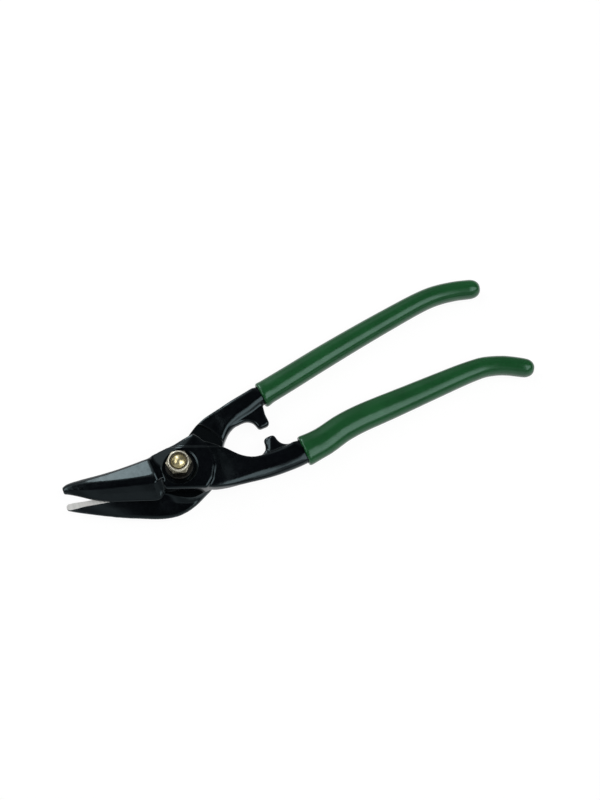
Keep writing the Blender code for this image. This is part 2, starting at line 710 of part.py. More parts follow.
def make_bolt(material):
    """Flat round head, square neck, plain shank and domed end."""
    radius = BOLT_DIAMETER / 2
    tip = NUT_BOTTOM + NUT_HEIGHT + BOLT_PROUD
    head = HEAD_DIAMETER / 2
    profile = [(0, 0), (head - HEAD_EDGE, 0), (head, HEAD_EDGE), (head, HEAD_THICKNESS - HEAD_EDGE)]
    profile += [(head - HEAD_EDGE, HEAD_THICKNESS), (radius, HEAD_THICKNESS)]
    for step in range(DOME_STEPS):
        angle = math.pi / 2 * step / DOME_STEPS
        profile.append((radius * math.cos(angle), tip - BOLT_DOME + BOLT_DOME * math.sin(angle)))
    profile.append((0, tip))
    bolt = turned("pivot_bolt", profile, material, BOLT_SIDES)
    neck = prism("bolt_neck", 4, BOLT_DIAMETER, HEAD_THICKNESS / 2, HEAD_THICKNESS + NECK_HEIGHT, NECK_TURN)
    combine(bolt, neck, "UNION")
    shade(bolt)
    return bolt


def make_washer(material):
    """Flat washer in the spotface."""
    outer = WASHER_DIAMETER / 2
    top = WASHER_BOTTOM + WASHER_THICKNESS
    profile = [(BORE_RADIUS, WASHER_BOTTOM), (outer, WASHER_BOTTOM), (outer, top - WASHER_EDGE)]
    profile += [(outer - WASHER_EDGE, top), (BORE_RADIUS, top)]
    washer = turned("nut_washer", profile, material)
    shade(washer)
    return washer


def make_nut(material):
    """Hexagon nut whose round collar is rolled in over a locking ring."""
    hex_top = NUT_BOTTOM + NUT_HEX_HEIGHT
    top = NUT_BOTTOM + NUT_HEIGHT
    corner = NUT_WIDTH / 2 / math.cos(math.pi / 6)
    flat = NUT_WIDTH / 2
    bottom = NUT_BOTTOM - CUT_OVERRUN
    nut = prism("pivot_nut", 6, NUT_WIDTH, bottom, top + CUT_OVERRUN, NUT_TURN, material)
    profile = [(BORE_RADIUS, NUT_BOTTOM), (flat, NUT_BOTTOM), (corner, NUT_BOTTOM + NUT_CHAMFER)]
    profile += [(corner, hex_top - NUT_CHAMFER), (flat, hex_top)]
    collar = COLLAR_DIAMETER / 2
    crown = NUT_HEIGHT - NUT_HEX_HEIGHT
    profile.append((collar, hex_top))
    for inward, below in NUT_CROWN_SHARES:
        profile.append((collar - crown * inward, top - crown * below))
    ring_radius = collar - COLLAR_WALL
    lip_radius = ring_radius - COLLAR_LIP / 2
    ring_top = top - COLLAR_LIP
    ring_bottom = ring_top - LOCK_RING_HEIGHT - 2 * CLEARANCE
    profile += [(lip_radius, top), (lip_radius, ring_top), (ring_radius, ring_top)]
    profile += [(ring_radius, ring_bottom), (BORE_RADIUS, ring_bottom)]
    combine(nut, turned("nut_turned_form", profile), "INTERSECT")
    shade(nut)
    return nut


def make_lock_ring(material):
    """Plastic ring that grips the bolt inside the nut's collar."""
    outer = COLLAR_DIAMETER / 2 - COLLAR_WALL - CLEARANCE
    top = NUT_BOTTOM + NUT_HEIGHT - COLLAR_LIP - CLEARANCE
    bottom = top - LOCK_RING_HEIGHT
    profile = [(BORE_RADIUS, bottom), (outer, bottom), (outer, top), (BORE_RADIUS, top)]
    ring = turned("nut_lock_ring", profile, material)
    shade(ring)
    return ring


def main():
    """Build the snips."""
    clear_scene()
    enamel = make_material("black_enamel", (0.006, 0.007, 0.009), 0.22, 0.0)
    dark_enamel = make_material("black_enamel_lower", (0.007, 0.008, 0.009), 0.24, 0.0)
    vinyl = make_material("green_vinyl", (0.012, 0.072, 0.022), 0.30, 0.0)
    lower_vinyl = make_material("green_vinyl_lower", (0.012, 0.070, 0.022), 0.31, 0.0)
    zinc = make_material("yellow_zinc", (0.62, 0.53, 0.30), 0.24, 1.0)
    nut_zinc = make_material("pale_zinc", (0.66, 0.62, 0.48), 0.26, 1.0)
    steel = make_material("washer_steel", (0.30, 0.30, 0.29), 0.35, 1.0)
    nylon = make_material("lock_nylon", (0.30, 0.27, 0.18), 0.45, 0.0)

    upper_mouth = Vector((1, UPPER_MOUTH_SHARE)) * UPPER_ARM_REACH
    lower_mouth = Vector((1, LOWER_MOUTH_SHARE)) * LOWER_ARM_REACH
    upper_sizes = (UPPER_GRIP_LENGTH, UPPER_GRIP_WIDTH, UPPER_WIDTH_SHARES)
    upper = handle_stations(upper_mouth, UPPER_AXIS_SHARES, *upper_sizes)
    lower_sizes = (LOWER_GRIP_LENGTH, LOWER_GRIP_WIDTH, LOWER_WIDTH_SHARES)
    lower = handle_stations(lower_mouth, LOWER_AXIS_SHARES, *lower_sizes)

    make_upper_lever(lower, enamel)
    make_lower_lever(upper, dark_enamel)
    make_grip("upper_handle_grip", upper, vinyl)
    make_grip("lower_handle_grip", lower, lower_vinyl)
    make_bolt(zinc)
    make_washer(steel)
    make_nut(nut_zinc)
    make_lock_ring(nylon)


main()
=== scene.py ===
"""Looks of the offset tin snips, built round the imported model.

The two blade levers are forgings under black enamel, ground bare where they rub and cut. Their handles wear
dipped green grips, and a plated bolt, nut and washer hold them together.
"""

import logging
import math
from dataclasses import dataclass
from enum import Enum

import bmesh
import bpy
import numpy as np
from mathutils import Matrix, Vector

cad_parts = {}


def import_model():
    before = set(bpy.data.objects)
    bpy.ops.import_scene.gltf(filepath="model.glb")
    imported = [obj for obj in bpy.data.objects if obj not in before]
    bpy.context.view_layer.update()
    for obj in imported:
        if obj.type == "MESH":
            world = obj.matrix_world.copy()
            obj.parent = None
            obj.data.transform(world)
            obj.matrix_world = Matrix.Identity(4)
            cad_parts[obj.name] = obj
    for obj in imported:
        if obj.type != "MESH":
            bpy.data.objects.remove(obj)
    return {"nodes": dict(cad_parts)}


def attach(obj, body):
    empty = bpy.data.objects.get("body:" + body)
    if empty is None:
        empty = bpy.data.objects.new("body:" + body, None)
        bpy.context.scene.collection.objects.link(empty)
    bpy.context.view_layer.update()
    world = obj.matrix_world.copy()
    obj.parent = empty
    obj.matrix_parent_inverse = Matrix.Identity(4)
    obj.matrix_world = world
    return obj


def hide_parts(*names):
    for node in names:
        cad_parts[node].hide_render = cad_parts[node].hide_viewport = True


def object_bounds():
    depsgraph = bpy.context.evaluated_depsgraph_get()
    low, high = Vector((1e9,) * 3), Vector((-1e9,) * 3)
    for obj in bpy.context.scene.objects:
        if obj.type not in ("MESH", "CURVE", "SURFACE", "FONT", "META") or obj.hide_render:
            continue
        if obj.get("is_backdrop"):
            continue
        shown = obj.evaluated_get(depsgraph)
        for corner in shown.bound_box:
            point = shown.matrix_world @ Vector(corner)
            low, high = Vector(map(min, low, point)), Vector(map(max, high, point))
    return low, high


LOG = logging.getLogger("tin_snips")

Pair = tuple[float, float]
Triple = tuple[float, float, float]
Ramp = tuple[Pair, ...]
Piece = bpy.types.Object
Socket = bpy.types.NodeSocket

# Levels and radii of the pivot, in metres, as the frame has them
HEAD_THICKNESS = 0.0025
SHEAR_LEVEL = 0.0111
UPPER_BLADE_LEVEL = 0.0114
PLATE_TOP = 0.0197
SPOTFACE_FLOOR = 0.0182
BORE_RADIUS = 0.0043
BOLT_RADIUS = 0.0040
SEAT_RADIUS = 0.0295
JAW_REACH = 0.069
JAW_SIDE = 0.0315
PLATE_THICKNESS = 0.0083
MERGE_DISTANCE = 1e-6
LEVEL_SLACK = 2e-5
FLAT_FACING = 0.999
SMOOTHING_SHARE = 0.5
EDGE_STEPS = 4
NOISE_MIDDLE = (0.3, 0.7)
ENAMEL_SHEEN = (0.70, 0.93, 1.0)
RANGE_KEYS = ("From Min", "From Max", "To Min", "To Max")

# Watts for each square metre of a lamp at which its face has a brightness of 1
LAMP_WATTS = 4.0


class Solver(Enum):
    """How a Boolean works out its cut."""

    EXACT = "EXACT"
    MANIFOLD = "MANIFOLD"


class Cut(Enum):
    """What a Boolean does with its tool."""

    REMOVE = "DIFFERENCE"
    JOIN = "UNION"
    CLIP = "INTERSECT"


def release_all() -> None:
    """Leave nothing selected and no object in edit mode."""
    if bpy.context.object is not None and bpy.context.object.mode != "OBJECT":
        bpy.ops.object.mode_set(mode="OBJECT")
    bpy.ops.object.select_all(action="DESELECT")


def take(piece: Piece) -> None:
    """Make one object the only selected and the active one.

    Args:
        piece: the object to work on.
    """
    release_all()
    piece.select_set(True)
    bpy.context.view_layer.objects.active = piece


def edit_all(piece: Piece) -> None:
    """Open an object's mesh with all of it selected.

    Args:
        piece: the object to edit.
    """
    take(piece)
    bpy.ops.object.mode_set(mode="EDIT")
    bpy.ops.mesh.select_all(action="SELECT")


def newest(name: str) -> Piece:
    """Name the primitive that was just added, and put its place into its mesh.

    Args:
        name: the piece's name.

    Returns:
        The object.
    """
    piece = bpy.context.object
    piece.name = name
    piece.data.name = name
    bpy.ops.object.transform_apply(location=True, rotation=True, scale=True)
    return piece


def apply_modifier(piece: Piece, name: str, kind: str, **settings: object) -> None:
    """Add a modifier, set it and apply it.

    Args:
        piece: the object to change.
        name: the modifier's name.
        kind: the modifier's type.
        settings: its values by name.
    """
    take(piece)
    modifier = piece.modifiers.new(name, kind)
    for key, value in settings.items():
        setattr(modifier, key, value)
    bpy.ops.object.modifier_apply(modifier=modifier.name)


def combine(piece: Piece, tool: Piece, cut: Cut, solver: Solver = Solver.EXACT) -> None:
    """Cut, join or clip a piece with a tool, which is used up.

    Args:
        piece: the object to change.
        tool: the object that shapes it.
        cut: what to do with the tool.
        solver: how to work it out.
    """
    apply_modifier(piece, "shaping", "BOOLEAN", operation=cut.value, object=tool, solver=solver.value)
    bpy.data.objects.remove(tool, do_unlink=True)


def copy_of_node(nodes: dict, node: str, name: str) -> Piece:
    """A free copy of a solid of the frame, with its loose triangles merged.

    Args:
        nodes: the frame's nodes by name.
        node: the solid to copy.
        name: the new piece's name.

    Returns:
        The copy.
    """
    piece = bpy.data.objects.new(name, nodes[node].data.copy())
    piece.data.name = name
    piece.data.materials.clear()
    bpy.context.collection.objects.link(piece)
    edit_all(piece)
    bpy.ops.mesh.remove_doubles(threshold=MERGE_DISTANCE)
    bpy.ops.object.mode_set(mode="OBJECT")
    return piece


def turned_body(name: str, profile: list[Pair], sides: int) -> Piece:
    """A body spun round the pivot axis from an open or closed profile.

    Args:
        name: the piece's name.
        profile: (radius, height) points; the first and last are on the axis, or the loop closes.
        sides: how many steps make the full turn.

    Returns:
        The body, closed and facing outwards.
    """
    solid = profile[0][0] == 0
    count = len(profile)
    edges = [(index, index + 1) for index in range(count - 1)]
    if not solid:
        edges.append((count - 1, 0))
    mesh = bpy.data.meshes.new(name)
    mesh.from_pydata([(radius, 0, height) for radius, height in profile], edges, [])
    piece = bpy.data.objects.new(name, mesh)
    bpy.context.collection.objects.link(piece)
    edit_all(piece)
    bpy.ops.mesh.spin(steps=sides, angle=math.tau, center=(0, 0, 0), axis=(0, 0, 1))
    bpy.ops.mesh.select_all(action="SELECT")
    bpy.ops.mesh.remove_doubles(threshold=MERGE_DISTANCE)
    bpy.ops.mesh.normals_make_consistent(inside=False)
    bpy.ops.object.mode_set(mode="OBJECT")
    return piece


def smooth_by_angle(piece: Piece, degrees: float) -> None:
    """Shade round faces smooth and keep edges sharper than an angle crisp.

    Args:
        piece: the object.
        degrees: the angle.
    """
    take(piece)
    bpy.ops.object.shade_smooth_by_angle(angle=math.radians(degrees))


def arc(centre: Pair, radius: float, start: float, end: float, steps: int) -> list[Pair]:
    """Points of a round corner in a turned profile.

    Args:
        centre: the arc's centre as (radius, height).
        radius: its radius.
        start: its first angle in degrees; 0 points outwards and 90 up.
        end: its last angle.
        steps: how many stretches it has.

    Returns:
        The points.
    """
    points = []
    for step in range(steps + 1):
        angle = math.radians(start + (end - start) * step / steps)
        points.append((centre[0] + radius * math.cos(angle), centre[1] + radius * math.sin(angle)))
    return points


def grey(shade: float) -> tuple[float, float, float, float]:
    """A grey with its alpha."""
    return (shade, shade, shade, 1.0)


@dataclass(frozen=True)
class Noise:
    """A noise over a finish.

    Attributes:
        scale: how many waves there are in a metre.
        detail: how much finer noise lies on it.
        strength: how much of it shows, where it is a bump.
        depth: how deep that bump is, in metres.
        stretch: how it is stretched along each axis.
        turn: how it is turned round Z, in degrees.
    """

    scale: float
    detail: float
    strength: float = 0.0
    depth: float = 0.0
    stretch: Triple = (1.0, 1.0, 1.0)
    turn: float = 0.0


class NodeTree:
    """A node tree, added to and joined in few words."""

    def __init__(self, tree: bpy.types.NodeTree) -> None:
        """Take hold of a tree."""
        self.nodes = tree.nodes
        self.links = tree.links

    def add(self, kind: str, **settings: object) -> bpy.types.Node:
        """Add a node and set its values.

        Args:
            kind: the node's type.
            settings: its values by name.

        Returns:
            The node.
        """
        node = self.nodes.new(kind)
        for key, value in settings.items():
            setattr(node, key, value)
        return node

    def join(self, source: Socket, target: Socket) -> None:
        """Join two sockets."""
        self.links.new(source, target)

    def calculate(self, operation: str, first: Socket, second: Socket) -> Socket:
        """Work out one value from two.

        Args:
            operation: how.
            first: the one value.
            second: the other.

        Returns:
            The result.
        """
        node = self.add("ShaderNodeMath", operation=operation)
        self.join(first, node.inputs[0])
        self.join(second, node.inputs[1])
        return node.outputs["Value"]

    def spread(self, value: Socket, ends: tuple[float, ...], **settings: object) -> Socket:
        """Turn one range of values into another.

        Args:
            value: the value.
            ends: the first range's ends, and what they become.
            settings: the node's other values by name.

        Returns:
            The new value.
        """
        node = self.add("ShaderNodeMapRange", **settings)
        for key, number in zip(RANGE_KEYS, ends):
            node.inputs[key].default_value = number
        self.join(value, node.inputs["Value"])
        return node.outputs["Result"]


class NodeGraph(NodeTree):
    """A material's nodes."""

    def __init__(self, name: str) -> None:
        """Start a material.

        Args:
            name: the finish's name.
        """
        self.material = bpy.data.materials.new(name)
        self.material.use_nodes = True
        super().__init__(self.material.node_tree)
        self.shader = self.nodes["Principled BSDF"]
        self.place = self.add("ShaderNodeTexCoord").outputs["Object"]

    def feed(self, name: str, source: Socket) -> None:
        """Give the shader's own socket of a name its value."""
        self.join(source, self.shader.inputs[name])

    def set_shader(self, **values: object) -> None:
        """Set the shader's own sockets; a name's underscores stand for spaces."""
        for key, value in values.items():
            self.shader.inputs[key.replace("_", " ")].default_value = value

    def noise(self, kind: Noise) -> Socket:
        """A noise over the piece.

        Args:
            kind: which noise.

        Returns:
            The noise's value.
        """
        mapping = self.add("ShaderNodeMapping")
        mapping.inputs["Scale"].default_value = kind.stretch
        mapping.inputs["Rotation"].default_value = (0, 0, math.radians(kind.turn))
        texture = self.add("ShaderNodeTexNoise")
        texture.inputs["Scale"].default_value = kind.scale
        texture.inputs["Detail"].default_value = kind.detail
        self.join(self.place, mapping.inputs["Vector"])
        self.join(mapping.outputs["Vector"], texture.inputs["Vector"])
        return texture.outputs["Fac"]

    def between(self, value: Socket, low: float, high: float) -> Socket:
        """Spread the middle of a noise over a range.

        Args:
            value: the noise.
            low: what its low places become.
            high: what its high places become.

        Returns:
            The new value.
        """
        return self.spread(value, (*NOISE_MIDDLE, low, high))

    def colours(self, value: Socket, stops: list[tuple[float, tuple]]) -> Socket:
        """Turn a value into a colour.

        Args:
            value: the value.
            stops: two (place, colour) pairs.

        Returns:
            The colour.
        """
        ramp = self.add("ShaderNodeValToRGB")
        for element, (place, colour) in zip(ramp.color_ramp.elements, stops):
            element.position = place
            element.color = (*colour, 1.0)
        self.join(value, ramp.inputs["Fac"])
        return ramp.outputs["Color"]

    def mixed(self, share: Socket, low: float | tuple, high: Socket) -> Socket:
        """Go from a fixed number or colour to a changing one.

        Args:
            share: how much of the changing one there is.
            low: the fixed number, or a colour with its alpha.
            high: the changing one.

        Returns:
            The mixture.
        """
        kind = "Color" if isinstance(low, tuple) else "Float"
        node = self.add("ShaderNodeMix", data_type="RGBA" if isinstance(low, tuple) else "FLOAT")
        inputs = {socket.identifier: socket for socket in node.inputs}
        outputs = {socket.identifier: socket for socket in node.outputs}
        inputs["A_" + kind].default_value = low
        self.join(share, inputs["Factor_Float"])
        self.join(high, inputs["B_" + kind])
        return outputs["Result_" + kind]

    def bump(self, layers: tuple[Noise, ...]) -> None:
        """Lay bumps over each other and give them to the shader.

        Args:
            layers: the bumps, the lowest first.
        """
        normal = None
        for layer in layers:
            bump = self.add("ShaderNodeBump")
            bump.inputs["Strength"].default_value = layer.strength
            bump.inputs["Distance"].default_value = layer.depth
            self.join(self.noise(layer), bump.inputs["Height"])
            if normal is not None:
                self.join(normal, bump.inputs["Normal"])
            normal = bump.outputs["Normal"]
        self.feed("Normal", normal)


@dataclass(frozen=True)
class CloudedFinish:
    """A finish whose colour and shine cloud a little.

    Attributes:
        low: its colour in the low parts of the clouds.
        high: its colour in the high parts.
        stops: how high those parts are.
        clouds: the noise of the colour.
        roughness: its least and greatest roughness.
        haze: the noise of the roughness.
        bumps: its unevenness, the lowest layer first.
        metallic: 1 for metal and 0 for the rest.
        ior: its index of refraction.
        sheen: the tint of its shine.
    """

    low: Triple
    high: Triple
    stops: Pair
    clouds: Noise
    roughness: Pair
    haze: Noise
    bumps: tuple[Noise, ...]
    metallic: float = 0.0
    ior: float = 1.5
    sheen: Triple = (1.0, 1.0, 1.0)

    def build(self, name: str) -> bpy.types.Material:
        """Make the material.

        Args:
            name: its name.

        Returns:
            The material.
        """
        graph = NodeGraph(name)
        colours = list(zip(self.stops, (self.low, self.high)))
        graph.feed("Base Color", graph.colours(graph.noise(self.clouds), colours))
        graph.feed("Roughness", graph.between(graph.noise(self.haze), *self.roughness))
        graph.bump(self.bumps)
        graph.set_shader(Metallic=self.metallic, IOR=self.ior, Specular_Tint=(*self.sheen, 1))
        return graph.material


@dataclass(frozen=True)
class GroundSteel:
    """Bare steel with the straight marks of a grinder, under enamel where nothing has rubbed it off."""

    bright: Triple = (0.80, 0.80, 0.78)
    dull: Triple = (0.68, 0.68, 0.66)
    roughness: Pair = (0.50, 0.62)
    marks: Noise = Noise(1500, 4, 0.2, 0.00005, (1.0, 0.04, 1.0), 12.0)
    enamel: Triple = (0.0010, 0.0014, 0.0020)
    sheen: Triple = ENAMEL_SHEEN
    ior: float = 1.5
    enamel_roughness: float = 0.18
    jaw_start: float = -0.0165
    rubbed_radius: float = 0.0125
    ragged: Noise = Noise(260, 4)
    fade: float = 0.0008

    def build(self, name: str) -> bpy.types.Material:
        """Make the material.

        Args:
            name: its name.

        Returns:
            The material.
        """
        graph = NodeGraph(name)
        marks = graph.noise(self.marks)
        steel = graph.colours(marks, list(zip(NOISE_MIDDLE, (self.dull, self.bright))))
        bare = self.bare_places(graph)
        graph.feed("Base Color", graph.mixed(bare, (*self.enamel, 1), steel))
        graph.feed("Metallic", bare)
        rough = graph.between(marks, *self.roughness)
        graph.feed("Roughness", graph.mixed(bare, self.enamel_roughness, rough))
        graph.bump((self.marks,))
        graph.set_shader(IOR=self.ior, Specular_Tint=(*self.sheen, 1))
        return graph.material

    def bare_places(self, graph: NodeGraph) -> Socket:
        """Where the enamel has gone: all along the jaw, and in a ring round the pivot.

        Args:
            graph: the material's nodes.

        Returns:
            1 on bare steel and 0 on enamel.
        """
        split = graph.add("ShaderNodeSeparateXYZ")
        graph.join(graph.place, split.inputs["Vector"])
        flat = graph.add("ShaderNodeVectorMath", operation="MULTIPLY")
        flat.inputs[1].default_value = (1, 1, 0)
        graph.join(graph.place, flat.inputs[0])
        distance = graph.add("ShaderNodeVectorMath", operation="LENGTH")
        graph.join(flat.outputs["Vector"], distance.inputs[0])
        ragged = graph.between(graph.noise(self.ragged), -self.fade, self.fade)
        bare = []
        edges = ((split.outputs["X"], self.jaw_start), (distance.outputs["Value"], self.rubbed_radius))
        for value, edge in edges:
            ends = (edge - self.fade / 2, edge + self.fade / 2, 1.0, 0.0)
            bare.append(graph.spread(graph.calculate("ADD", value, ragged), ends))
        return graph.calculate("MAXIMUM", *bare)


def plating(high: Triple, low: Triple, roughness: Pair) -> CloudedFinish:
    """A thin plating over metal.

    Args:
        high: its colour where it is clean.
        low: its colour where it is stained.
        roughness: its least and greatest roughness.

    Returns:
        The finish.
    """
    return CloudedFinish(
        low=low,
        high=high,
        stops=(0.32, 0.62),
        clouds=Noise(420, 5),
        roughness=roughness,
        haze=Noise(900, 3),
        bumps=(Noise(2200, 3, 0.08, 0.00005),),
        metallic=1.0,
    )


BLACK_ENAMEL = CloudedFinish(
    low=(0.0008, 0.0012, 0.0018),
    high=(0.0020, 0.0022, 0.0036),
    stops=(0.35, 0.68),
    clouds=Noise(55, 4),
    roughness=(0.13, 0.21),
    haze=Noise(260, 5),
    bumps=(Noise(120, 2, 0.16, 0.0004), Noise(1400, 2, 0.07, 0.0001)),
    ior=1.43,
    sheen=ENAMEL_SHEEN,
)
GREEN_VINYL = CloudedFinish(
    low=(0.0092, 0.071, 0.0200),
    high=(0.0134, 0.093, 0.0272),
    stops=NOISE_MIDDLE,
    clouds=Noise(70, 5),
    roughness=(0.17, 0.25),
    haze=Noise(300, 4),
    bumps=(Noise(110, 2, 0.16, 0.0006, (0.30, 1.0, 1.0), 12), Noise(1100, 2, 0.06, 0.0001)),
    sheen=(0.68, 1.0, 0.90),
)
LOCK_NYLON = CloudedFinish(
    low=(0.045, 0.036, 0.016),
    high=(0.11, 0.09, 0.04),
    stops=NOISE_MIDDLE,
    clouds=Noise(800, 4),
    roughness=(0.42, 0.42),
    haze=Noise(800, 4),
    bumps=(Noise(2500, 2, 0.2, 0.00005),),
)
YELLOW_ZINC = plating((0.80, 0.72, 0.44), (0.56, 0.49, 0.26), (0.26, 0.38))
PALE_ZINC = plating((0.88, 0.86, 0.74), (0.72, 0.69, 0.54), (0.34, 0.44))
# Darker copies of the nut's plating for its hexagon, picked by how each face lies: painted shade on the
# flanks, and a lighter painted shade on the chamfers and corners.
SHADED_CORNER_ZINC = plating((0.24, 0.23, 0.18), (0.08, 0.075, 0.055), (0.28, 0.40))
SHADED_FLANK_ZINC = plating((0.12, 0.11, 0.08), (0.03, 0.03, 0.025), (0.30, 0.42))
OILED_STEEL = plating((0.035, 0.035, 0.032), (0.02, 0.02, 0.02), (0.36, 0.48))


@dataclass(frozen=True)
class Press:
    """A shallow form that a die strikes into a top face along a line.

    Attributes:
        start: where the line starts.
        end: where it ends.
        heights: (distance to the line's left, rise) points across it.
        fade: over what length the form runs out past both ends.
        floor: the height below which nothing moves.
        floor_fade: over what height above the floor the form comes in.
    """

    start: Pair
    end: Pair
    heights: Ramp
    fade: float
    floor: float
    floor_fade: float = 0.001

    def strike(self, piece: Piece) -> None:
        """Move the piece's vertices up or down by the form.

        Args:
            piece: the object to press.
        """
        count = len(piece.data.vertices)
        places = np.empty(count * 3)
        piece.data.vertices.foreach_get("co", places)
        places = places.reshape(count, 3)
        start = np.array(self.start)
        along = np.array(self.end) - start
        length = np.linalg.norm(along)
        along /= length
        offset = places[:, :2] - start
        run = offset @ along
        left = offset @ np.array((-along[1], along[0]))
        rise = np.interp(left, *zip(*self.heights))
        ends = np.clip(np.minimum(run, length - run) / self.fade + 1, 0, 1)
        eased = (3 - 2 * ends) * ends**2
        level = np.clip((places[:, 2] - self.floor) / self.floor_fade, 0, 1)
        places[:, 2] += rise * eased * level
        piece.data.vertices.foreach_set("co", places.ravel())
        piece.data.update()


LUG_FLANK = Press(
    start=(0.0527, -0.0066),
    end=(0.0553, 0.0004),
    heights=((0.0, 0.0), (0.0018, -0.00058), (0.004, -0.00058)),
    fade=0.0012,
    floor=0.0085,
)
JAW_ROOT = Press(
    start=(-0.017, -0.004),
    end=(-0.017, -0.013),
    heights=((0.0, 0.0), (0.004, 0.0014), (0.0052, 0.0014), (0.006, 0.0)),
    fade=0.0015,
    floor=0.0120,
)


@dataclass(frozen=True)
class RootHollow:
    """The soft hollow through which the jaw runs into the plate.

    Attributes:
        place: where it lies along the jaw.
        half_width: how far from there it is fully soft.
        edge: over what width it fades.
        floor: the height below which nothing moves.
        near: where it starts across the jaw.
        softening: how many rounds of smoothing it gets.
    """

    place: float = -0.0135
    half_width: float = 0.0020
    edge: float = 0.0020
    floor: float = 0.0123
    near: float = -0.0055
    softening: int = 40

    def melt(self, lever: Piece) -> None:
        """Smooth the lever there.

        Args:
            lever: the lever to change.
        """
        group = lever.vertex_groups.new(name="root")
        for vertex in lever.data.vertices:
            if vertex.co.z < self.floor:
                continue
            along = self.half_width + self.edge - abs(vertex.co.x - self.place)
            share = min(1.0, along / self.edge, (vertex.co.y - self.near) / self.edge)
            if share > 0:
                group.add([vertex.index], share, "REPLACE")
        smooth = {"factor": SMOOTHING_SHARE, "iterations": self.softening, "vertex_group": group.name}
        apply_modifier(lever, "root_wear", "SMOOTH", **smooth)


@dataclass(frozen=True)
class Spotface:
    """The nut's round seat in the plate, with a shallow bevel round its rim, and the bore.

    Attributes:
        radius: the seat's radius in the frame's solid, where it is filled first.
        wall: the radius of its wall when it is cut again.
        bevel: the rim's width and height.
        edge: the rounding between wall and bevel.
        rings: where the bevel's rings are, as shares of it; they keep its shading flat.
        clear: how far past the wall the cutter opens, as a share of the bevel's width.
        plug_sides: how many sides the plug has that fills it.
        sides: how many sides the cutter has.
        fall_line: the line past which the plate's far corner falls towards the jaw.
        fall_slopes: (distance past that line, slope from there on) pairs.
    """

    radius: float = 0.0101
    wall: float = 0.0096
    bevel: Pair = (0.0012, 0.00029)
    edge: float = 0.00025
    rings: Triple = (0.1, 0.9, 1.0)
    clear: float = 1.5
    plug_sides: int = 96
    sides: int = 128
    fall_line: tuple[Pair, Pair] = ((-0.00563, 0.00325), (0.01133, 0.01354))
    fall_slopes: Ramp = ((0.0, 0.18), (0.0025, 0.40))

    def fill(self, lever: Piece) -> None:
        """Close the seat and the bore, which are cut again once the forging is soft.

        Args:
            lever: the lever to close them in.
        """
        release_all()
        height = PLATE_TOP - UPPER_BLADE_LEVEL
        middle = (0, 0, UPPER_BLADE_LEVEL + height / 2)
        size = {"radius": self.radius + LEVEL_SLACK, "depth": height}
        bpy.ops.mesh.primitive_cylinder_add(vertices=self.plug_sides, location=middle, **size)
        plug = newest("seat_plug")
        self.let_corner_fall(plug)
        take(plug)
        lever.select_set(True)
        bpy.context.view_layer.objects.active = lever
        bpy.ops.object.join()

    def let_corner_fall(self, plug: Piece) -> None:
        """Take the plug down, with the plate's far corner, towards the jaw.

        Args:
            plug: the plug to cut down.
        """
        start, end = (Vector((*point, PLATE_TOP)) for point in self.fall_line)
        outward = Vector((0, 0, 1)).cross(end - start).normalized()
        level = PLATE_TOP
        away = 0.0
        slope = 0.0
        for next_away, next_slope in self.fall_slopes:
            level -= (next_away - away) * slope
            away, slope = next_away, next_slope
            place = start + outward * away
            edit_all(plug)
            bpy.ops.mesh.bisect(
                plane_co=(place.x, place.y, level),
                plane_no=outward * slope + Vector((0, 0, 1)),
                use_fill=True,
                clear_outer=True,
            )
            bpy.ops.object.mode_set(mode="OBJECT")

    def cut(self, lever: Piece, swelling: float) -> None:
        """Cut the seat with its bevelled rim, and the bore.

        Args:
            lever: the lever to cut.
            swelling: how thick its enamel is.
        """
        width, height = self.bevel
        top = PLATE_TOP + swelling
        over = PLATE_TOP + PLATE_THICKNESS
        rim = self.wall + width
        slope = math.degrees(math.atan2(height, width))
        profile = [(0, 0), (BORE_RADIUS, 0), (BORE_RADIUS, SPOTFACE_FLOOR), (self.wall, SPOTFACE_FLOOR)]
        centre = (self.wall + self.edge, top - height - self.edge)
        profile += arc(centre, self.edge, 180, 90 + slope, EDGE_STEPS)
        inner, low = profile[-1]
        for share in self.rings:
            profile.append((inner + (rim - inner) * share, low + (top - low) * share))
        profile += [(self.wall + width * self.clear, over), (0, over)]
        combine(lever, turned_body("seat_cutter", profile, self.sides), Cut.REMOVE, Solver.MANIFOLD)


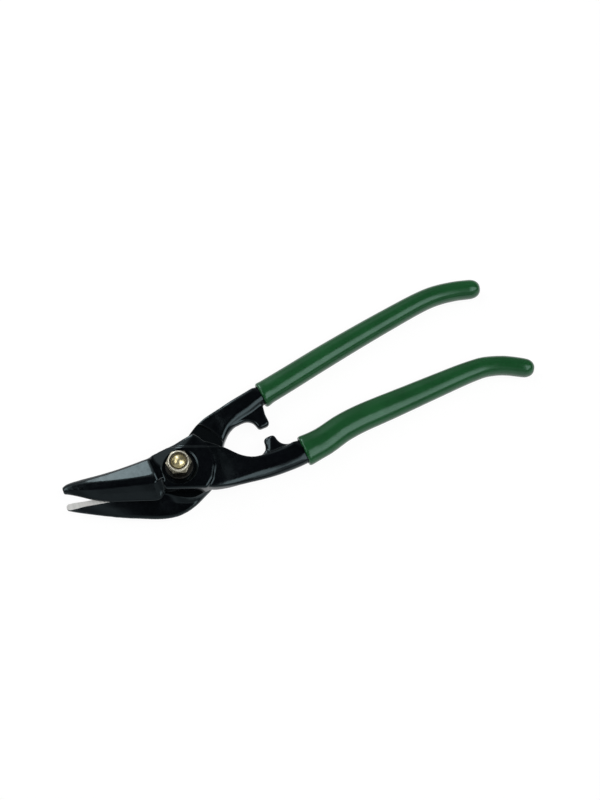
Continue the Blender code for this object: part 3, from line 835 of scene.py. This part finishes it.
@dataclass
class ForgedLever:
    """A blade lever: forged all over, then ground flat on the side that rubs.

    Attributes:
        ground_level: the height of its rubbing face.
        side: 1 if that face looks up and -1 if it looks down.
        spotface: the nut's seat, if the lever has it.
        root: the hollow between jaw and plate, if it shows.
        presses: the forms that its dies strike into it.
        raised: how far the ground faces stand out until they are ground.
        voxel: how fine the forging is.
        softening: how worn its dies are, in rounds of smoothing.
        swelling: how thick its enamel is.
    """

    node: str
    name: str
    body: str
    slot: str
    ground_level: float
    side: int
    spotface: Spotface | None = None
    root: RootHollow | None = None
    presses: tuple[Press, ...] = ()
    raised: float = 0.0015
    voxel: float = 0.00042
    softening: int = 8
    swelling: float = 0.00012
    wheel_sides: int = 128
    smooth_degrees: float = 35

    def build(self, nodes: dict) -> Piece:
        """Model the lever.

        Args:
            nodes: the frame's nodes by name.

        Returns:
            The lever, with its enamel and its bare faces.
        """
        lever = copy_of_node(nodes, self.node, self.name)
        self.raise_ground_faces(lever)
        if self.spotface:
            self.spotface.fill(lever)
        apply_modifier(lever, "forging", "REMESH", mode="VOXEL", voxel_size=self.voxel)
        apply_modifier(lever, "die_wear", "SMOOTH", factor=SMOOTHING_SHARE, iterations=self.softening)
        if self.root:
            self.root.melt(lever)
        for press in self.presses:
            press.strike(lever)
        apply_modifier(lever, "coat", "DISPLACE", strength=self.swelling, mid_level=0.0)
        self.grind(lever)
        if self.spotface:
            self.spotface.cut(lever, self.swelling)
        self.dress(lever)
        return lever

    def is_ground(self, level: float, facing: float) -> bool:
        """Whether a face at a height, with an upward normal's share, is one that rubs."""
        return abs(level - self.ground_level) < LEVEL_SLACK and facing * self.side > FLAT_FACING

    def raise_ground_faces(self, lever: Piece) -> None:
        """Push the ground faces out, so that forging softens only what grinding takes off.

        Args:
            lever: the lever to change.
        """
        take(lever)
        bpy.ops.object.mode_set(mode="EDIT")
        bpy.ops.mesh.select_mode(type="FACE")
        bpy.ops.mesh.select_all(action="DESELECT")
        mesh = bmesh.from_edit_mesh(lever.data)
        for face in mesh.faces:
            face.select = self.is_ground(face.calc_center_median().z, face.normal.z)
        bmesh.update_edit_mesh(lever.data)
        bpy.ops.mesh.extrude_region_move(TRANSFORM_OT_translate={"value": (0, 0, self.raised * self.side)})
        bpy.ops.object.mode_set(mode="OBJECT")

    def grind(self, lever: Piece) -> None:
        """Cut the rubbing face flat, round the pivot and along the jaw.

        Args:
            lever: the lever to grind.
        """
        depth = PLATE_THICKNESS * 2
        middle = self.ground_level + self.side * depth / 2
        release_all()
        bpy.ops.mesh.primitive_cylinder_add(
            vertices=self.wheel_sides, radius=SEAT_RADIUS, depth=depth, location=(0, 0, middle)
        )
        combine(lever, newest("seat_wheel"), Cut.REMOVE, Solver.MANIFOLD)
        release_all()
        centre = (-JAW_REACH / 2, 0, middle)
        bpy.ops.mesh.primitive_cube_add(size=1, location=centre, scale=(JAW_REACH, JAW_SIDE * 2, depth))
        combine(lever, newest("jaw_wheel"), Cut.REMOVE, Solver.MANIFOLD)

    def dress(self, lever: Piece) -> None:
        """Enamel the lever and leave its ground faces bare.

        Args:
            lever: the lever to finish.
        """
        lever.data.materials.clear()
        lever.data.materials.append(BLACK_ENAMEL.build(self.name + "_enamel"))
        lever.data.materials.append(GroundSteel().build(self.name + "_ground"))
        for face in lever.data.polygons:
            face.material_index = 1 if self.is_ground(face.center.z, face.normal.z) else 0
        smooth_by_angle(lever, self.smooth_degrees)
        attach(lever, self.body)
        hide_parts(self.node)


@dataclass
class DippedGrip:
    """A vinyl grip that hugs the handle, with a rounded lip at its mouth."""

    node: str
    name: str
    body: str
    slot: str
    voxel: float = 0.00046
    softening: int = 34
    swelling: float = 0.00017
    smooth_degrees: float = 60

    def build(self, nodes: dict) -> Piece:
        """Model the grip.

        Args:
            nodes: the frame's nodes by name.

        Returns:
            The grip.
        """
        grip = copy_of_node(nodes, self.node, self.name)
        apply_modifier(grip, "dipping", "REMESH", mode="VOXEL", voxel_size=self.voxel)
        apply_modifier(grip, "flow", "SMOOTH", factor=SMOOTHING_SHARE, iterations=self.softening)
        apply_modifier(grip, "skin", "DISPLACE", strength=self.swelling, mid_level=0.0)
        grip.data.materials.clear()
        grip.data.materials.append(GREEN_VINYL.build(self.name + "_vinyl"))
        smooth_by_angle(grip, self.smooth_degrees)
        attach(grip, self.body)
        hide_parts(self.node)
        return grip


@dataclass
class PivotHardware:
    """The bolt, the washer and the locking nut with its ring; every level is one of the frame's."""

    body: str = "lower_half"
    head_radius: float = 0.0090
    head_edge: float = 0.0005
    neck_height: float = 0.0045
    bolt_tip: float = 0.0294
    dome: float = 0.0017
    dome_steps: int = 12
    bolt_sides: int = 96
    washer_radius: float = 0.0080
    washer_bottom: float = 0.0185
    washer_thickness: float = 0.0016
    washer_roll: float = 0.0003
    nut_bottom: float = 0.0204
    nut_width: float = 0.0130
    nut_hex_height: float = 0.0058
    nut_height: float = 0.0080
    nut_turn: float = 44.0
    nut_chamfer: float = 0.0006
    nut_wear: float = 0.00015
    nut_wear_angle: float = 0.6
    corner_sides: int = 192
    round_sides: int = 128
    collar_radius: float = 0.0061
    collar_lip: float = 0.00042
    collar_bore: float = 0.0051
    lip_steps: int = 6
    lip_slope: float = 0.0004
    lip_flare: float = 0.0002
    ring_radius: float = 0.0050
    ring_top: float = 0.0275
    ring_height: float = 0.0016
    ring_room: float = 0.0003
    ring_dish: float = 0.0002
    smooth_degrees: float = 38
    flank_facing: float = 0.35

    def build(self) -> list[Piece]:
        """Model the four pieces.

        Returns:
            The bolt, washer, nut and ring.
        """
        return [self.bolt(), self.washer(), self.nut(), self.lock_ring()]

    def settle(self, piece: Piece, finish: CloudedFinish, node: str) -> Piece:
        """Give a piece its finish and its body, and hide the solid of the frame that it stands for.

        Args:
            piece: the piece.
            finish: its finish.
            node: the solid of the frame.

        Returns:
            The piece.
        """
        piece.data.materials.clear()
        piece.data.materials.append(finish.build(piece.name + "_finish"))
        smooth_by_angle(piece, self.smooth_degrees)
        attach(piece, self.body)
        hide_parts(node)
        return piece

    def bolt(self) -> Piece:
        """Flat round head, square neck and a shank with a domed end.

        Returns:
            The bolt.
        """
        edge = self.head_edge
        flat = self.head_radius - edge
        sphere = (BOLT_RADIUS**2 + self.dome**2) / (2 * self.dome)
        spread = math.degrees(math.asin(BOLT_RADIUS / sphere))
        profile = [(0, 0)] + arc((flat, edge), edge, -90, 0, EDGE_STEPS)
        profile += arc((flat, HEAD_THICKNESS - edge), edge, 0, 90, EDGE_STEPS)
        profile += [(BOLT_RADIUS, HEAD_THICKNESS)]
        dome = arc((0, self.bolt_tip - sphere), sphere, 90 - spread, 90, self.dome_steps)
        profile += dome[:-1] + [(0, self.bolt_tip)]
        bolt = turned_body("pivot_bolt_dressed", profile, self.bolt_sides)
        height = self.neck_height + HEAD_THICKNESS / 2
        middle = (0, 0, HEAD_THICKNESS / 2 + height / 2)
        size = (BOLT_RADIUS * 2, BOLT_RADIUS * 2, height)
        release_all()
        bpy.ops.mesh.primitive_cube_add(size=1, location=middle, scale=size)
        combine(bolt, newest("square_neck"), Cut.JOIN)
        return self.settle(bolt, YELLOW_ZINC, "pivot_bolt")

    def washer(self) -> Piece:
        """A flat washer with a punched, slightly rolled rim.

        Returns:
            The washer.
        """
        top = self.washer_bottom + self.washer_thickness
        roll = self.washer_roll
        flat = self.washer_radius - roll
        profile = [(BORE_RADIUS, self.washer_bottom), (flat, self.washer_bottom)]
        profile += arc((flat, self.washer_bottom + roll), roll, -90, 0, EDGE_STEPS)[1:]
        profile += arc((flat, top - roll), roll, 0, 90, EDGE_STEPS)
        profile += [(BORE_RADIUS, top)]
        washer = turned_body("nut_washer_dressed", profile, self.round_sides)
        return self.settle(washer, OILED_STEEL, "nut_washer")

    def nut(self) -> Piece:
        """A hexagon nut, chamfered top and bottom, with a round collar rolled over its ring.

        Returns:
            The nut.
        """
        nut = self.hexagon()
        hex_top = self.nut_bottom + self.nut_hex_height
        top = self.nut_bottom + self.nut_height
        root = hex_top - self.nut_chamfer
        lip = self.collar_lip
        profile = [(0, root), (self.collar_radius + lip / 2, root), (self.collar_radius, hex_top + lip / 3)]
        profile += arc((self.collar_radius - lip, top - lip), lip, 0, 90, self.lip_steps)
        profile += [(0, top)]
        combine(nut, turned_body("collar", profile, self.round_sides), Cut.JOIN)
        ring_bottom = self.ring_top - self.ring_height - self.ring_room
        groove = self.ring_radius + self.ring_room
        profile = [(0, self.nut_bottom - lip), (BORE_RADIUS, self.nut_bottom - lip)]
        profile += [(BORE_RADIUS, ring_bottom), (groove, ring_bottom)]
        profile += [(groove, self.ring_top), (self.collar_bore, self.ring_top + self.lip_slope)]
        profile += [(self.collar_bore + self.lip_flare, top + lip), (0, top + lip)]
        combine(nut, turned_body("nut_bore", profile, self.round_sides), Cut.REMOVE)
        angle = {"limit_method": "ANGLE", "angle_limit": self.nut_wear_angle}
        apply_modifier(nut, "worn_edges", "BEVEL", width=self.nut_wear, segments=2, **angle)
        self.settle(nut, PALE_ZINC, "pivot_nut")
        # The hexagon's upright flanks and its chamfers take darker copies of the plating by the way they
        # face: painted shade.
        nut.data.materials.append(SHADED_FLANK_ZINC.build("pivot_nut_shaded_flats"))
        nut.data.materials.append(SHADED_CORNER_ZINC.build("pivot_nut_shaded_corners"))
        for face in nut.data.polygons:
            away = math.hypot(face.center.x, face.center.y)
            if face.center.z < hex_top + lip / 3 and away > BORE_RADIUS + lip:
                face.material_index = 1 if abs(face.normal.z) < self.flank_facing else 2
        return nut

    def hexagon(self) -> Piece:
        """The nut's hexagon with its corners turned off.

        Returns:
            The hexagon, turned as the nut stands in the photograph.
        """
        flat = self.nut_width / 2
        corner = flat / math.cos(math.pi / 6)
        hex_top = self.nut_bottom + self.nut_hex_height
        middle = (0, 0, (self.nut_bottom + hex_top) / 2)
        release_all()
        size = {"radius": corner, "depth": self.nut_hex_height}
        bpy.ops.mesh.primitive_cylinder_add(vertices=6, location=middle, **size)
        nut = newest("pivot_nut_dressed")
        edit_all(nut)
        turn = math.radians(90 - self.nut_turn)
        bpy.ops.transform.rotate(value=turn, orient_axis="Z", center_override=(0, 0, 0))
        bpy.ops.object.mode_set(mode="OBJECT")
        profile = [(0, self.nut_bottom), (flat, self.nut_bottom)]
        profile += [(corner, self.nut_bottom + self.nut_chamfer), (corner, hex_top - self.nut_chamfer)]
        profile += [(flat, hex_top), (0, hex_top)]
        combine(nut, turned_body("corner_cutter", profile, self.corner_sides), Cut.CLIP)
        return nut

    def lock_ring(self) -> Piece:
        """The nylon ring, dished a little where the collar holds it.

        Returns:
            The ring.
        """
        bottom = self.ring_top - self.ring_height
        dish = self.ring_dish
        inner = BOLT_RADIUS + dish
        profile = [(inner, bottom), (self.ring_radius, bottom), (self.ring_radius, self.ring_top - dish)]
        profile += [(self.ring_radius - dish, self.ring_top), (inner + dish * 2, self.ring_top)]
        profile += [(inner, self.ring_top - dish)]
        ring = turned_body("nut_lock_ring_dressed", profile, self.bolt_sides)
        return self.settle(ring, LOCK_NYLON, "nut_lock_ring")


@dataclass(frozen=True)
class SoftBox:
    """A soft lamp in a direction of the picture: 0 degrees is its right and 90 its top."""

    name: str
    bearing: float
    up: float
    distance: float
    width: float
    height: float
    brightness: float
    aim: Triple

    def build(self, picture_turn: float) -> Piece:
        """Hang the lamp.

        Args:
            picture_turn: the camera's turn round Z in degrees.

        Returns:
            The lamp.
        """
        lamp = bpy.data.lights.new(self.name, "AREA")
        lamp.shape = "RECTANGLE"
        lamp.size = self.width
        lamp.size_y = self.height
        lamp.energy = self.brightness * LAMP_WATTS * self.width * self.height
        item = bpy.data.objects.new(self.name, lamp)
        bpy.context.collection.objects.link(item)
        turn = math.radians(self.bearing + picture_turn)
        up = math.radians(self.up)
        towards = Vector((math.cos(up) * math.cos(turn), math.cos(up) * math.sin(turn), math.sin(up)))
        item.location = Vector(self.aim) + towards * self.distance
        item.rotation_euler = towards.to_track_quat("Z", "Y").to_euler()
        item.visible_camera = False
        return item


@dataclass(frozen=True)
class RoomPlan:
    """Where the room is bright, as (lean, brightness or share) points.

    A lean is how far a direction points one way: 0 is level with it and 1 straight along it. Across is to the
    picture's right, back to its top, near to its bottom, and up away from the floor.
    """

    front_near: Ramp = (
        (0.0, 0.03),
        (0.45, 0.03),
        (0.50, 0.14),
        (0.58, 0.68),
        (0.66, 0.60),
        (0.76, 0.36),
        (0.90, 0.40),
        (1.0, 0.85),
    )
    front_across: Ramp = ((0.50, 1.0), (0.60, 0.2))
    right_degrees: float = -36
    corner_right: Ramp = ((0.90, 0.0), (0.97, 0.7))
    behind_back: Ramp = ((0.38, 0.0), (0.50, 0.15), (0.70, 0.42), (1.0, 0.50))
    behind_across: Ramp = ((-0.25, 1.0), (0.0, 0.42))
    roof_across: Ramp = ((0.19, 0.0), (0.33, 3.7))
    roof_back: Ramp = ((-0.64, 0.0), (-0.56, 1.0), (0.12, 1.0), (0.30, 0.0))
    roof_right: Ramp = ((0.70, 1.0), (0.82, 0.0))
    left_degrees: float = -143
    roof_left: Ramp = ((0.03, 1.0), (0.17, 0.0))
    roof_up: Ramp = ((0.38, 0.0), (0.50, 1.0))
    window_across: Ramp = (
        (-0.66, 0.0),
        (-0.58, 0.65),
        (-0.30, 0.60),
        (-0.20, 0.75),
        (-0.10, 0.3),
        (-0.03, 0.0),
    )
    window_back: Ramp = ((0.34, 0.0), (0.45, 1.0), (0.72, 1.0), (0.80, 0.3), (0.90, 0.0))
    window_up: Ramp = ((0.30, 0.0), (0.42, 1.0))
    door_across: Ramp = ((-0.70, 0.0), (-0.62, 4.2), (-0.48, 5.4), (-0.39, 0.0))
    door_back: Ramp = ((-0.25, 0.0), (-0.12, 1.0), (0.36, 1.0), (0.46, 0.0))


class RoomLight(NodeTree):
    """The room's light by direction, in the picture's frame: 0 degrees is its right and 90 its top."""

    def __init__(self, picture_turn: float) -> None:
        """Start the world.

        Args:
            picture_turn: the camera's turn round Z in degrees.
        """
        world = bpy.data.worlds.new("white_room")
        bpy.context.scene.world = world
        world.use_nodes = True
        super().__init__(world.node_tree)
        self.nodes.clear()
        self.picture_turn = picture_turn
        self.direction = self.add("ShaderNodeTexCoord").outputs["Generated"]
        self.up = self.lean((0, 0, 1))

    def lean(self, way: Triple) -> Socket:
        """How far a direction leans one way.

        Args:
            way: the way, of length 1.

        Returns:
            The lean.
        """
        dot = self.add("ShaderNodeVectorMath", operation="DOT_PRODUCT")
        dot.inputs[1].default_value = way
        self.join(self.direction, dot.inputs[0])
        return dot.outputs["Value"]

    def towards(self, degrees: float) -> Socket:
        """How far a direction leans towards an angle of the picture."""
        turn = math.radians(degrees + self.picture_turn)
        return self.lean((math.cos(turn), math.sin(turn), 0))

    def ramp(self, value: Socket, points: Ramp) -> Socket:
        """Follow a line through (value, result) points, level past its ends.

        Args:
            value: what goes in.
            points: the line's points in order.

        Returns:
            The result.
        """
        total = None
        for (start, low), (end, high) in zip(points, points[1:]):
            first = low if total is None else 0.0
            ends = (start, end, first, first + high - low)
            step = self.spread(value, ends, interpolation_type="SMOOTHSTEP")
            total = step if total is None else self.calculate("ADD", total, step)
        return total

    def product(self, *factors: tuple[Socket, Ramp]) -> Socket:
        """Multiply what the ramps of several leans give.

        Args:
            factors: (lean, ramp) pairs.

        Returns:
            The product.
        """
        total = None
        for value, points in factors:
            part = self.ramp(value, points)
            total = part if total is None else self.calculate("MULTIPLY", total, part)
        return total

    def light(self, sources: list[Socket]) -> None:
        """Let the room shine.

        Args:
            sources: the brightness of each of its lights.
        """
        total = sources[0]
        for source in sources[1:]:
            total = self.calculate("ADD", total, source)
        room = self.add("ShaderNodeBackground")
        self.join(total, room.inputs["Strength"])
        self.join(room.outputs["Background"], self.add("ShaderNodeOutputWorld").inputs["Surface"])


@dataclass
class Studio:
    """A white floor, one soft lamp, a dim room and the photograph's camera.

    Attributes:
        seen_shade: how much of the light, and so of the shadow, the camera sees on the floor.
        seen_glow: the white that the camera sees beside that.
        bounce_shade: how pale the floor is as it lights the object.
    """

    camera_place: Triple = (-0.0612, -0.3504, 1.0329)
    camera_tilt: float = 21.0
    camera_turn: float = -21.0
    lens: float = 85.0
    sensor: float = 36.0
    near_clip: float = 0.01
    floor_size: float = 20.0
    floor_level: float = -0.00015
    seen_shade: float = 0.09
    seen_glow: float = 0.94
    bounce_shade: float = 0.5
    lamp: SoftBox = SoftBox(
        name="jaw_lamp",
        bearing=105.4,
        up=30.5,
        distance=0.41,
        width=0.070,
        height=0.215,
        brightness=5.5,
        aim=(-0.035, 0.0, 0.015),
    )
    plan: RoomPlan = RoomPlan()

    def build(self) -> None:
        """Set up the floor, the lamp, the world and the camera."""
        self.floor()
        self.lamp.build(self.camera_turn)
        self.world()
        self.camera()
        bpy.context.scene.view_settings.view_transform = "Standard"

    def floor(self) -> None:
        """A wide white sheet under the snips, which keeps a faint shadow."""
        release_all()
        bpy.ops.mesh.primitive_plane_add(size=self.floor_size, location=(0, 0, self.floor_level))
        sheet = newest("studio_floor")
        material = bpy.data.materials.new("white_sheet")
        material.use_nodes = True
        graph = NodeTree(material.node_tree)
        graph.nodes.clear()
        paths = graph.add("ShaderNodeLightPath").outputs
        seen = graph.calculate("MAXIMUM", paths["Is Camera Ray"], paths["Is Glossy Ray"])
        seen = graph.calculate("MAXIMUM", seen, paths["Is Transmission Ray"])
        matte = graph.add("ShaderNodeBsdfDiffuse")
        matte.inputs["Color"].default_value = grey(self.seen_shade)
        glow = graph.add("ShaderNodeEmission")
        glow.inputs["Strength"].default_value = self.seen_glow
        both = graph.add("ShaderNodeAddShader")
        graph.join(matte.outputs["BSDF"], both.inputs[0])
        graph.join(glow.outputs["Emission"], both.inputs[1])
        plain = graph.add("ShaderNodeBsdfDiffuse")
        plain.inputs["Color"].default_value = grey(self.bounce_shade)
        pick = graph.add("ShaderNodeMixShader")
        graph.join(seen, pick.inputs["Fac"])
        graph.join(plain.outputs["BSDF"], pick.inputs[1])
        graph.join(both.outputs["Shader"], pick.inputs[2])
        graph.join(pick.outputs["Shader"], graph.add("ShaderNodeOutputMaterial").inputs["Surface"])
        sheet.data.materials.append(material)
        sheet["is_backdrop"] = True

    def world(self) -> None:
        """A dim room: a pale front and back, a long soft roof light, a window and a door at the left."""
        plan = self.plan
        room = RoomLight(self.camera_turn)
        across = room.towards(0)
        back = room.towards(90)
        near = room.towards(-90)
        right = room.towards(plan.right_degrees)
        left = room.towards(plan.left_degrees)
        front = room.product((near, plan.front_near), (across, plan.front_across))
        corner = room.product((right, plan.corner_right))
        behind = room.product((back, plan.behind_back), (across, plan.behind_across))
        roof = room.product(
            (across, plan.roof_across),
            (back, plan.roof_back),
            (right, plan.roof_right),
            (left, plan.roof_left),
            (room.up, plan.roof_up),
        )
        window = room.product(
            (across, plan.window_across), (back, plan.window_back), (room.up, plan.window_up)
        )
        door = room.product((across, plan.door_across), (back, plan.door_back))
        room.light([front, corner, behind, roof, window, door])

    def camera(self) -> None:
        """The photograph's camera: high in front and a little left."""
        data = bpy.data.cameras.new("studio_camera")
        data.lens = self.lens
        data.sensor_width = self.sensor
        data.clip_start = self.near_clip
        item = bpy.data.objects.new("studio_camera", data)
        bpy.context.collection.objects.link(item)
        item.location = self.camera_place
        item.rotation_euler = (math.radians(self.camera_tilt), 0, math.radians(self.camera_turn))
        bpy.context.scene.camera = item


def main(frame: dict, cad_box: tuple[Vector, Vector]) -> None:
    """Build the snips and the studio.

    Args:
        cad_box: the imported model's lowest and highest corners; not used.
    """
    nodes = frame["nodes"]
    levers = [
        ForgedLever(
            node="upper_blade_lever",
            name="upper_lever",
            body="upper_half",
            slot="upper_black_enamel",
            ground_level=UPPER_BLADE_LEVEL,
            side=-1,
            spotface=Spotface(),
            root=RootHollow(),
            presses=(LUG_FLANK, JAW_ROOT),
        ),
        ForgedLever(
            node="lower_blade_lever",
            name="lower_lever",
            body="lower_half",
            slot="lower_black_enamel",
            ground_level=SHEAR_LEVEL,
            side=1,
        ),
    ]
    grips = [
        DippedGrip("upper_handle_grip", "upper_grip", "lower_half", "upper_green_vinyl"),
        DippedGrip("lower_handle_grip", "lower_grip", "upper_half", "lower_green_vinyl"),
    ]
    made = [part.build(nodes) for part in levers + grips]
    made += PivotHardware().build()
    for piece in made:
        LOG.info("%s: %d faces", piece.name, len(piece.data.polygons))
    Studio().build()


if __name__ == "__main__":
    logging.basicConfig(level=logging.INFO)
    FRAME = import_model()
    main(FRAME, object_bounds())
